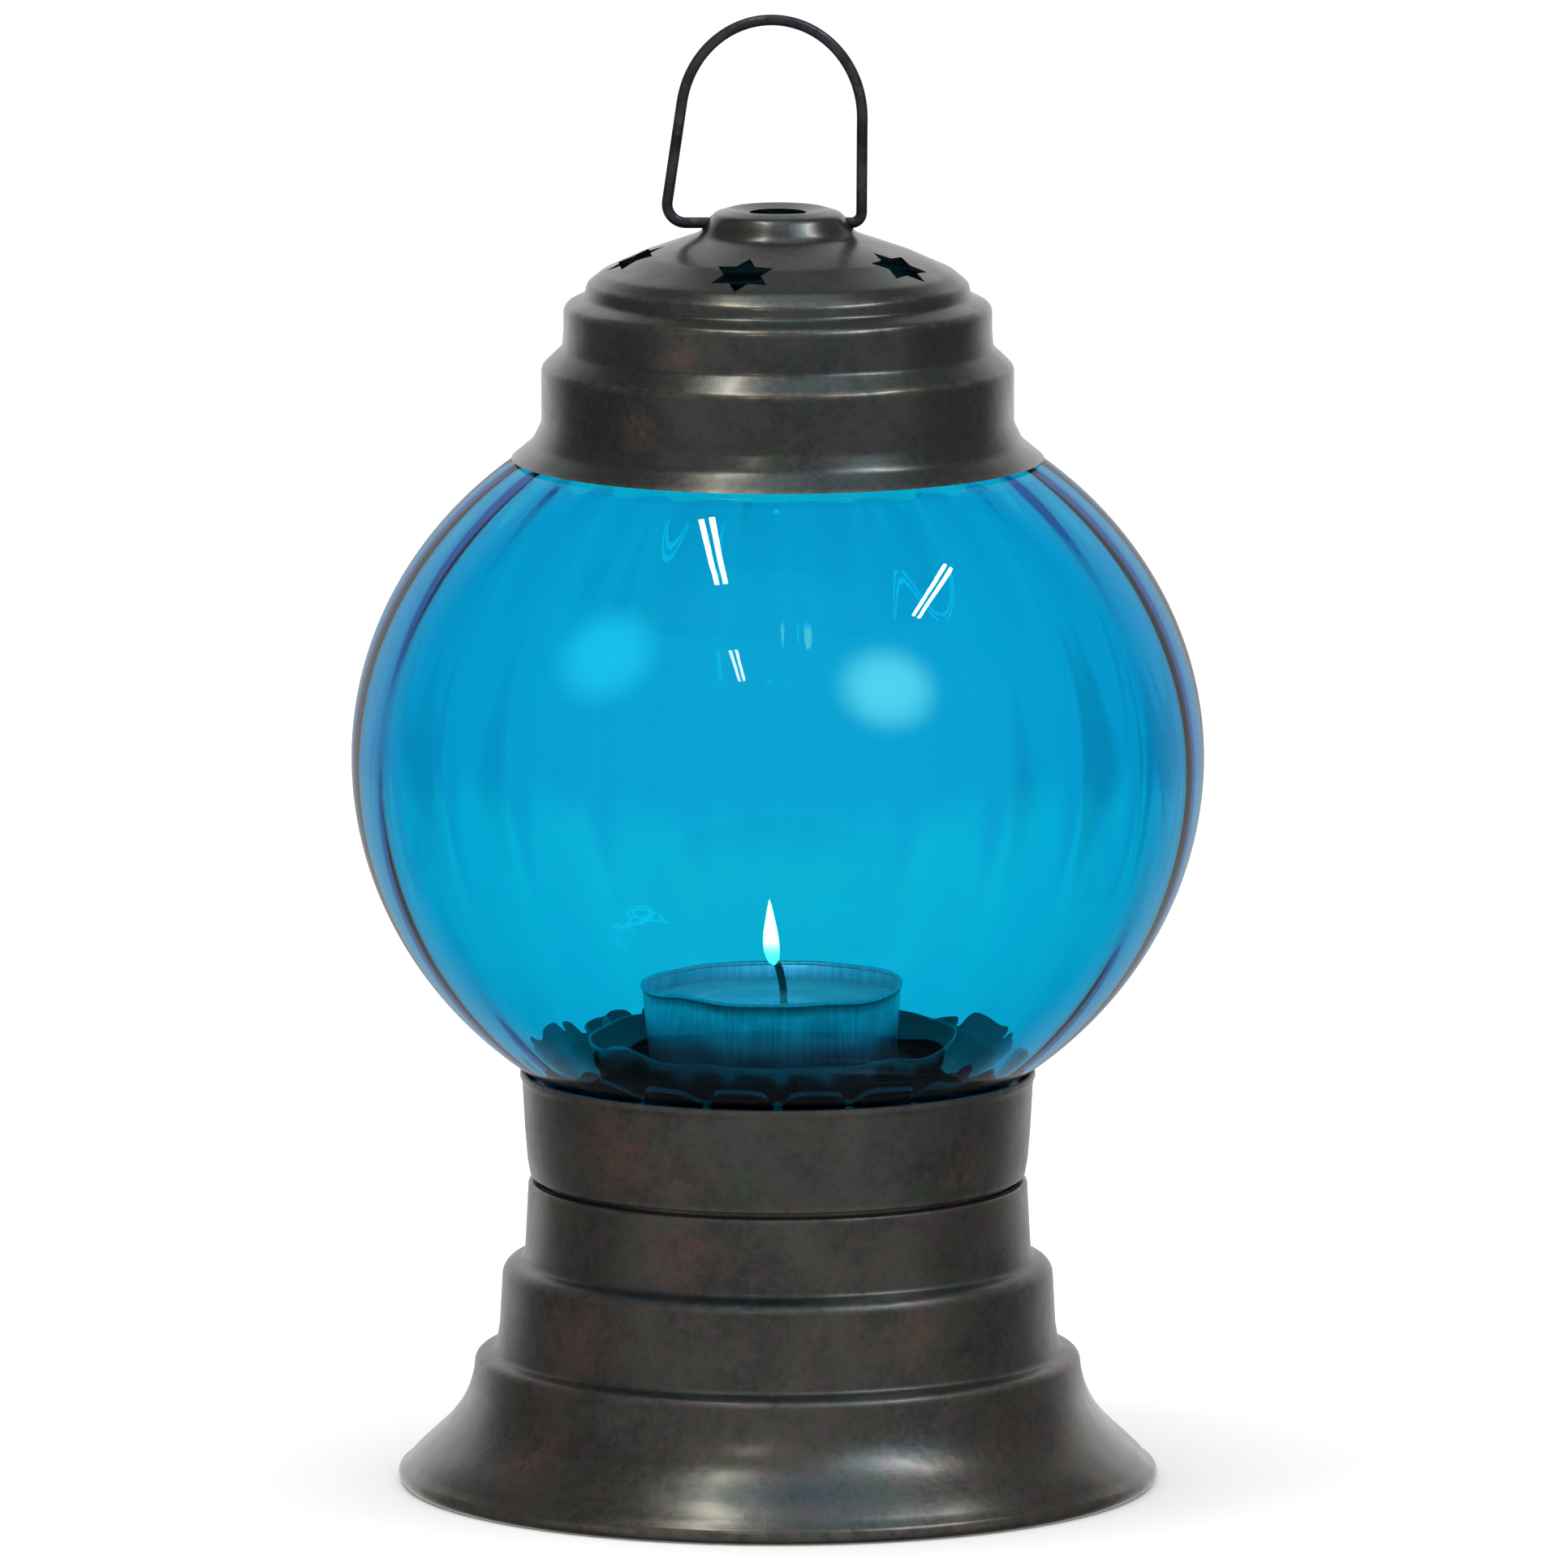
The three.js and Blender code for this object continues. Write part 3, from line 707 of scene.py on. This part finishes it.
def tealight_wax():
    """Solid wax that climbs a little at the foil and dips to a melted pool at the wick."""
    radius = CAN_RADIUS - 0.75
    bottom = bottom_mm("tealight_wax")
    section = rounded([
        (7.1, bottom),
        (radius - 0.5, bottom, 0.4),
        (radius, WAX_TOP_Z, 0.15),
        (radius - 1.2, WAX_TOP_Z - 0.5, 1.2),
        (13.5, WAX_TOP_Z - 0.55, 0.6),
        (12.6, WAX_TOP_Z - 1.0, 0.6),
        (2.2, WAX_TOP_Z - 1.05, 1.0),
        (0.82, WAX_TOP_Z - 0.75),
        (0.82, bottom + 3.4),
        (1.6, bottom + 3.4),
        (1.6, bottom + 0.5),
        (7.1, bottom + 0.5),
    ])
    piece = turned("wax_disc", section, 160)
    return place(piece, paraffin(), "tealight", "wax", "tealight_wax")


def wick_and_sustainer(foil):
    """The charred wick, leaning at its tip, and the pressed disc that holds it."""
    bottom = bottom_mm("wick")
    heights = np.linspace(bottom + 0.3, WICK_TOP_Z - 0.45, 60)
    above = np.clip((heights - WAX_TOP_Z) / (WICK_TOP_Z - WAX_TOP_Z), 0, 1)
    lean = -1.35 * above ** 1.8
    swell = 0.62 + 0.06 * np.sin(heights * 9.0)
    tip = 1 - 0.35 * above ** 4
    wick = swept("wick_cord", np.stack([lean, heights], axis=1), swell * tip, 16)
    place(wick, wick_cotton(), "tealight", "wick_cotton", "wick")

    low, high = (c.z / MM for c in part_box("wick_sustainer"))
    section = rounded([
        (0.8, low),
        (7.0, low, 0.1),
        (7.0, low + 0.4, 0.1),
        (1.5, low + 0.4, 0.2),
        (1.5, high, 0.15),
        (0.8, high),
    ])
    disc = turned("sustainer_disc", section, 64)
    return place(disc, foil, "tealight", "aluminium_foil", "wick_sustainer")


def flame():
    """A still flame: a leaning teardrop round the tip of the wick."""
    bottom, top = WICK_TOP_Z - 1.2, FLAME_TOP_Z
    wick_tip, lean = -1.4, -0.65
    rings, sides = 36, 40
    vertices, faces = [], []
    for i in range(rings + 1):
        t = i / rings
        radius = FLAME_HALF_WIDTH * math.sin(math.pi * t ** 0.55) ** 0.9 if 0 < t < 1 else 0.0
        middle = wick_tip + lean * t ** 0.7
        height = bottom + (top - bottom) * t
        for j in range(sides):
            a = 2 * math.pi * j / sides
            x, y = middle + radius * math.cos(a), radius * math.sin(a)
            vertices.append((x * MM, y * MM, height * MM))
    for i in range(rings):
        for j in range(sides):
            k = (j + 1) % sides
            faces.append((i * sides + j, i * sides + k, (i + 1) * sides + k, (i + 1) * sides + j))
    piece = new_object("flame", vertices, faces, 80)
    piece.data.materials.append(flame_light(bottom, top))
    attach(piece, "tealight")
    return piece


# ---------------------------------------------------------------- globe

def ellipse_arc(depth, start, end):
    """84 points of the globe's ellipse, depth mm inside it, between two angles above its widest level."""
    angles = np.linspace(start, end, 84)
    half_width = GLOBE_RADIUS - depth
    half_height = np.where(angles > 0, GLOBE_RISE, GLOBE_FALL) - depth
    heights = GLOBE_CENTRE_Z + half_height * np.sin(angles)
    return np.stack([half_width * np.cos(angles), heights], axis=1)


def glass_globe():
    """Blown glass, smooth outside and ribbed inside. The ribs end short of the two ground mouths."""
    low = -math.acos(LOWER_MOUTH / GLOBE_RADIUS)
    high = math.acos(SHOULDER_RADIUS / GLOBE_RADIUS)
    outer = ellipse_arc(0, low, high)
    lip_z = outer[-1][1] + (SHOULDER_RADIUS - UPPER_MOUTH) * SHOULDER_SLOPE
    run = rounded([tuple(outer[-1]), (UPPER_MOUTH + 0.3, lip_z - 0.15, 0.3), (UPPER_MOUTH, lip_z - 0.5)])
    shoulder = resampled(run, 1.0)[1:]
    inside = GLOBE_RADIUS - GLASS_WALL
    inner_high = math.acos(UPPER_MOUTH / inside)
    inner_low = -math.acos(LOWER_MOUTH / inside)
    inner = ellipse_arc(GLASS_WALL, inner_high, inner_low)
    section = np.vstack([outer, shoulder, inner])
    climb = np.clip((inner[:, 1] - GLOBE_CENTRE_Z) / (GLOBE_RISE - GLASS_WALL), 0, 1) ** 2
    fading = np.clip((inner[:, 0] - LOWER_MOUTH) / 3.0, 0, 1)
    height = np.zeros(len(section))
    height[-len(inner):] = (RIB_HEIGHT + (SHOULDER_RIB_HEIGHT - RIB_HEIGHT) * climb) * fading

    def section_at(azimuth):
        hollow = (1 - math.cos(RIBS * (azimuth - math.radians(RIB_AZIMUTH)))) / 2
        here = section.copy()
        here[:, 0] += height * hollow
        return here

    piece = revolve("blown_globe", section_at, evenly(RIBS * 16), sharp_degrees=70)
    return place(piece, blue_glass(), "globe", "blue_glass", "glass_globe")


def collar():
    """The band under the glass, with a small hem at its upper edge."""
    wall = [
        (35.2, COLLAR_BOTTOM),
        (35.9, COLLAR_BOTTOM, 0.6),
        (36.35, 47.5, 3),
        (36.7, 52, 3),
        (37.05, 58.8, 1.0),
        (37.4, 59.6, 0.4),
        (37.35, COLLAR_TOP - 0.15, 0.3),
    ]
    face = resampled(rounded(wall), 1.0)
    back = offset(face, SHEET)[::-1]
    lip = [(37.1, COLLAR_TOP), (36.85, COLLAR_TOP - 0.25)]
    piece = turned("collar_band", np.vstack([face, lip, back]))
    dented(piece, 0.05, 20, 2)
    paint_wear(piece, [(37.4, 60.0), (36.0, COLLAR_BOTTOM + 0.3)], 1.0)
    copper = [((-23, -29, 52.5), 14), ((-16, -33, 50), 9), ((27, -25, 50), 6)]
    metal = antique_metal("antique_metal_collar", (1.12, 1.22, 1.18), copper, 0.08, dullness=0.16)
    return place(piece, metal, "globe", "antique_metal", "collar")


def claw_ring(name, corners, thickness):
    """A flange, a sleeve and a row of uneven, round-ended claws bent out over the glass.

    The corners run from the flange's edge by the sleeve to the claws' tips."""
    stem = resampled(rounded([*corners[:2], (*corners[2], 0.5), corners[3]]), 0.7)
    lengths = np.concatenate([[0], np.cumsum(np.linalg.norm(np.diff(stem, axis=0), axis=1))])
    sleeve_end = lengths[np.argmin(np.linalg.norm(stem - np.array(corners[2][:2]), axis=1))]
    to_back = offset(stem, thickness) - stem

    def section_at(azimuth):
        claw, turn = divmod(azimuth * CLAW_COUNT / (2 * math.pi) + 1e-9, 1.0)
        uneven = 0.88 + 0.12 * math.sin(2.4 * claw)
        across = abs(turn - 0.5) / (0.5 - CLAW_GAP_SHARE / 2)
        lobe = uneven * math.sqrt(max(0.0, 1 - across ** 4)) if across < 1 else 0.0
        kept = 0.10 + 0.90 * lobe
        marks = np.where(lengths <= sleeve_end, lengths, sleeve_end + (lengths - sleeve_end) * kept)
        face = np.stack([np.interp(marks, lengths, stem[:, k]) for k in (0, 1)], axis=1)
        return np.vstack([face, (face + to_back)[::-1]])

    return revolve(name, section_at, evenly(CLAW_COUNT * 18))


def claw_rings():
    """The two rings that hold the glass to the collar and to the cap."""
    flange = bottom_mm("lower_claw_ring")
    lower = claw_ring("claws_lower", [(36.1, flange), (31.8, flange), (31.8, 61.5), (36.0, 64.1)], -SHEET)
    metal = antique_metal("antique_metal_claws", (1.0, 1.0, 1.0), seed=0.23)
    place(lower, metal, "globe", "antique_metal", "lower_claw_ring")
    flange = top_mm("upper_claw_ring")
    upper = claw_ring("claws_upper", [(33.6, flange), (30.3, flange), (30.3, 150.9), (34.2, 149.5)], SHEET)
    place(upper, metal, "globe", "antique_metal", "upper_claw_ring")


def star_cutter(index):
    """A six-pointed punch, square to the dome."""
    inner = STAR_RADIUS / math.sqrt(3)
    outline = []
    for i in range(12):
        radius = (inner if i % 2 else STAR_RADIUS) * MM
        angle = math.pi * i / 6
        outline.append((radius * math.sin(angle), radius * math.cos(angle)))
    half = 3 * MM
    vertices = [(x, y, z) for z in (-half, half) for x, y in outline]
    faces = [tuple(range(11, -1, -1)), tuple(range(12, 24))]
    faces += [(i, (i + 1) % 12, 12 + (i + 1) % 12, 12 + i) for i in range(12)]
    punch = new_object(f"punch_{index}", vertices, faces, 1)
    azimuth = math.radians(STAR_AZIMUTH + 360 * index / STAR_COUNT)
    tilt = math.radians(STAR_TILT)
    ring, height = STAR_RING_RADIUS * MM, STAR_RING_Z * MM
    for vertex in punch.data.vertices:
        x, y, z = vertex.co
        y, z = y * math.cos(tilt) - z * math.sin(tilt), y * math.sin(tilt) + z * math.cos(tilt)
        y -= ring
        turned_x = x * math.cos(azimuth) - y * math.sin(azimuth)
        turned_y = x * math.sin(azimuth) + y * math.cos(azimuth)
        vertex.co = (turned_x, turned_y, z + height)
    punch.data.update()
    return punch


def bail_drill():
    """A round drill through both sides of the knob."""
    length = 2 * KNOB_RADIUS
    path = [(x, BAIL_PIVOT_Z) for x in np.linspace(-length, length, 9)]
    return swept("drill", path, BAIL_HOLE_RADIUS, 24, 2)


def cap_shell():
    """Two stepped bands, a low pierced dome, and a knob with a vent in its top."""
    wall = [
        (CAP_RIM_RADIUS, CAP_RIM_Z),
        (35.5, 152.5, 3),
        (34.2, 155.2, 2.5),
        (34.2, 163.3, 1.4),
        (31.2, 166.2, 1.4),
        (31.0, 168.5),
        (31.0, 172.2, 1.5),
        (28.0, 173.7, 1),
        (27.6, 175.4, 1.4),
        (25.5, 177.1, 3),
        (19.5, 179.8, 8),
        (11.3, 182.7, 3),
        (KNOB_RADIUS, KNOB_TOP_Z - 0.7, 1.8),
        (7.0, KNOB_TOP_Z, 1.2),
        (VENT_RADIUS, KNOB_TOP_Z - 0.6),
    ]
    face = resampled(rounded(wall), 0.8)
    back = offset(face, SHEET)[::-1][:-1]
    rim = [(CAP_RIM_RADIUS - 0.45, CAP_RIM_Z + 0.1)]
    piece = turned("cap_dome", np.vstack([face, back, rim]))
    cut(piece, [*(star_cutter(i) for i in range(STAR_COUNT)), bail_drill()])
    dented(piece, 0.05, 18, 3)
    crowns = [(34.0, 163.5), (30.9, 172.2), (27.3, 175.8), (CAP_RIM_RADIUS, CAP_RIM_Z), (10.2, 185.2)]
    paint_wear(piece, crowns)
    copper = [((-20, -27, 158), 5), ((-14, -28, 169), 5)]
    metal = antique_metal("antique_metal_cap", (0.88, 1.0, 1.0), copper, 0.12)
    return place(piece, metal, "globe", "antique_metal", "cap_shell")


# ---------------------------------------------------------------- bail

def bail_path():
    """The hand-bent wire's centre line, from its left end round the arch to its right end."""
    stub = 7.4
    left_foot, right_foot = -16.4, 12.1
    arch_x, arch_z, half_width, height = -0.9, 199.5, 13.1, 14.19
    leave = math.radians(171)
    arch = [(arch_x + half_width * math.cos(a), arch_z + height * math.sin(a))
            for a in np.linspace(leave, 0, 60)]
    corners = [
        (-stub, BAIL_PIVOT_Z),
        (left_foot, BAIL_PIVOT_Z, 2.7),
        *arch,
        (right_foot, BAIL_PIVOT_Z, 1.5),
        (stub, BAIL_PIVOT_Z),
    ]
    return resampled(rounded(corners, 8), 0.5)


def bail_handle():
    """The wire, which turns in the knob's two holes."""
    piece = swept("bail_wire", bail_path(), WIRE_RADIUS, 24)
    return place(piece, dark_wire(), "bail", "dark_wire", "bail_handle")


# ---------------------------------------------------------------- studio

def floor():
    """A wide pale floor, which shows only to the camera and to the light that it throws back."""
    mesh = bpy.data.meshes.new("floor")
    half = 30.0
    corners = [(-half, -half, 0), (half, -half, 0), (half, half, 0), (-half, half, 0)]
    mesh.from_pydata(corners, [], [(0, 1, 2, 3)])
    plane = bpy.data.objects.new("floor", mesh)
    bpy.context.scene.collection.objects.link(plane)
    material = bpy.data.materials.new("floor")
    material.use_nodes = True
    shader = material.node_tree.nodes["Principled BSDF"]
    shader.inputs["Base Color"].default_value = (0.95, 0.95, 0.95, 1.0)
    shader.inputs["Roughness"].default_value = 1.0
    shader.inputs["Specular IOR Level"].default_value = 0.0
    mesh.materials.append(material)
    plane.visible_glossy = False
    plane.visible_transmission = False


# Soft windows: the way to each, its reach in degrees, its colour, its strength in metal and in glass.
WINDOWS = (
    ((-0.680, -0.407, 0.610), 19, (0.04, 1.00, 1.00), 0.0, 4.0),
    ((0.476, -0.698, 0.534), 18, (0.26, 1.00, 0.75), 0.0, 7.0),
    ((0.500, -0.340, 0.796), 20, (0.60, 0.80, 1.00), 2.8, 0.0),
    ((0.100, 0.000, 0.995), 30, (0.66, 0.84, 1.00), 0.8, 0.0),
)
# Dark spots behind the glass: the way to each, its reach in degrees, the share of light that it takes.
DARK_SPOTS = (
    ((-0.115, 0.982, -0.147), 3.2, 0.14),
    ((0.110, 0.983, -0.147), 3.2, 0.26),
)


def studio_world():
    """Even white light on the surfaces. What they reflect is a darker room with soft windows and a
    white wall behind, and what shows through the glass is a pale backdrop with a faint horizon."""
    world = bpy.data.worlds.new("studio")
    bpy.context.scene.world = world
    world.use_nodes = True
    world.cycles.sampling_method = "NONE"
    tree = world.node_tree
    tree.nodes.clear()

    def add(kind, **settings):
        node = tree.nodes.new(kind)
        for key, value in settings.items():
            setattr(node, key, value)
        return node

    def ranged(value, low, high, to_low, to_high):
        node = add("ShaderNodeMapRange", interpolation_type="SMOOTHSTEP")
        tree.links.new(value, node.inputs["Value"])
        for name, number in zip(("From Min", "From Max", "To Min", "To Max"), (low, high, to_low, to_high)):
            node.inputs[name].default_value = number
        return node.outputs["Result"]

    def combined(operation, a, b):
        node = add("ShaderNodeMath", operation=operation)
        tree.links.new(a, node.inputs[0])
        tree.links.new(b, node.inputs[1])
        return node.outputs[0]

    def glow(toward, reach, full, none):
        """The number full in one direction, going softly to none at the reach in degrees."""
        aim = add("ShaderNodeVectorMath", operation="DOT_PRODUCT")
        tree.links.new(add("ShaderNodeTexCoord").outputs["Generated"], aim.inputs[0])
        aim.inputs[1].default_value = Vector(toward).normalized()
        return ranged(aim.outputs["Value"], math.cos(math.radians(reach)), 1.0, none, full)

    def backdrop(colour, strength):
        node = add("ShaderNodeBackground")
        for socket, value in ((node.inputs["Color"], colour), (node.inputs["Strength"], strength)):
            if isinstance(value, bpy.types.NodeSocket):
                tree.links.new(value, socket)
            else:
                socket.default_value = value
        return node.outputs[0]

    def chosen(share, first, second):
        node = add("ShaderNodeMixShader")
        tree.links.new(share, node.inputs[0])
        tree.links.new(first, node.inputs[1])
        tree.links.new(second, node.inputs[2])
        return node.outputs[0]

    def added(first, second):
        node = add("ShaderNodeAddShader")
        tree.links.new(first, node.inputs[0])
        tree.links.new(second, node.inputs[1])
        return node.outputs[0]

    rays = add("ShaderNodeLightPath")
    parts = add("ShaderNodeSeparateXYZ")
    tree.links.new(add("ShaderNodeTexCoord").outputs["Generated"], parts.inputs[0])
    behind = ranged(parts.outputs["Y"], 0.45, 0.95, 0.0, 1.0)
    ahead = ranged(parts.outputs["Y"], -0.20, -0.45, 0.13, 0.34)
    polished = rays.outputs["Is Singular Ray"]
    dimmed = combined("MULTIPLY", ahead, ranged(polished, 0.0, 1.0, 1.0, 0.10))
    softened = combined("MULTIPLY", behind, ranged(polished, 0.0, 1.0, 1.0, 0.40))
    room = combined("MAXIMUM", softened, dimmed)

    horizon = ranged(parts.outputs["Z"], -0.153, -0.165, 0.0, 1.0)
    through = add("ShaderNodeMix", data_type="RGBA")
    tree.links.new(horizon, through.inputs["Factor"])
    through.inputs[6].default_value = (0.88, 0.86, 0.98, 1.0)
    through.inputs[7].default_value = (1.04, 1.10, 1.05, 1.0)

    white = (1.0, 1.0, 1.0, 1.0)
    reflected = backdrop(white, room)
    for toward, reach, colour, in_metal, in_glass in WINDOWS:
        shape = glow(toward, reach, 1.0, 0.0)
        strength = ranged(polished, 0.0, 1.0, in_metal, in_glass)
        soft = combined("MULTIPLY", combined("MULTIPLY", shape, shape), strength)
        reflected = added(reflected, backdrop((*colour, 1.0), soft))
    left_spot, right_spot = (glow(toward, reach, 1.0 - share, 1.0) for toward, reach, share in DARK_SPOTS)
    seen_through = backdrop(through.outputs[2], combined("MULTIPLY", left_spot, right_spot))
    seen = chosen(rays.outputs["Is Glossy Ray"], backdrop(white, 1.15), reflected)
    seen = chosen(rays.outputs["Is Transmission Ray"], seen, seen_through)
    tree.links.new(seen, add("ShaderNodeOutputWorld").inputs[0])


CEILING = 1.6                             # metres from the globe up to the strip lights
TUBE_SPREAD = 0.018                       # half the distance between two tubes, in ceiling heights
TUBE_WIDTH = 0.020
WARM_WHITE = (1.0, 0.96, 0.86)
CREAM_WHITE = (1.0, 0.97, 0.80)
COOL_WHITE = (1.0, 0.98, 0.92)


def strip_light(name, x, y, length, radiance, colour):
    """A tube on the ceiling, running from front to back. x, y and length are in ceiling heights."""
    data = bpy.data.lights.new(name, "AREA")
    data.shape = "RECTANGLE"
    data.size, data.size_y = TUBE_WIDTH * CEILING, length * CEILING
    data.energy = radiance * math.pi * data.size * data.size_y
    data.color = colour
    light = bpy.data.objects.new(name, data)
    light.location = (x * CEILING, y * CEILING, CEILING + GLOBE_CENTRE_Z * MM)
    light.visible_camera = False
    bpy.context.scene.collection.objects.link(light)


def ceiling_lights():
    """Three fittings of two tubes each."""
    for i, side in enumerate((-TUBE_SPREAD, TUBE_SPREAD)):
        strip_light(f"left_tube_{i}", -0.235 + side, -0.15, 0.44, 32, WARM_WHITE)
        strip_light(f"left_front_tube_{i}", -0.262 + side, -1.12, 0.40, 16, CREAM_WHITE)
        strip_light(f"right_tube_{i}", 0.685 + side, -0.23, 0.46, 32, COOL_WHITE)


CAMERA_DISTANCE = 3.6                     # metres in front of the lantern's axis
CAMERA_HEIGHT = 0.648
AIM_HEIGHT = 0.1022
AIM_SIDE = 0.0009                         # metres to the right of the axis
LENS = 576.8                              # mm, on a sensor 36 mm wide


def camera():
    """A long lens a little above the lantern, as the picture was taken."""
    data = bpy.data.cameras.new("camera")
    data.sensor_width = 36.0
    data.lens = LENS
    data.clip_start, data.clip_end = 0.1, 100.0
    eye = bpy.data.objects.new("camera", data)
    bpy.context.scene.collection.objects.link(eye)
    eye.location = (AIM_SIDE, -CAMERA_DISTANCE, CAMERA_HEIGHT)
    target = Vector((AIM_SIDE, 0.0, AIM_HEIGHT))
    eye.rotation_mode = "QUATERNION"
    eye.rotation_quaternion = (eye.location - target).to_track_quat("Z", "Y")
    bpy.context.scene.camera = eye


camera()
floor()
studio_world()
ceiling_lights()
scene = bpy.context.scene
scene.view_settings.view_transform = "Standard"
scene.cycles.sample_clamp_indirect = 3.0

base_pedestal()
base_neck()
candle_cup()
cup_rivet()
can = tealight_can()
tealight_wax()
wick_and_sustainer(can.data.materials[0])
flame()
glass_globe()
collar()
claw_rings()
cap_shell()
bail_handle()
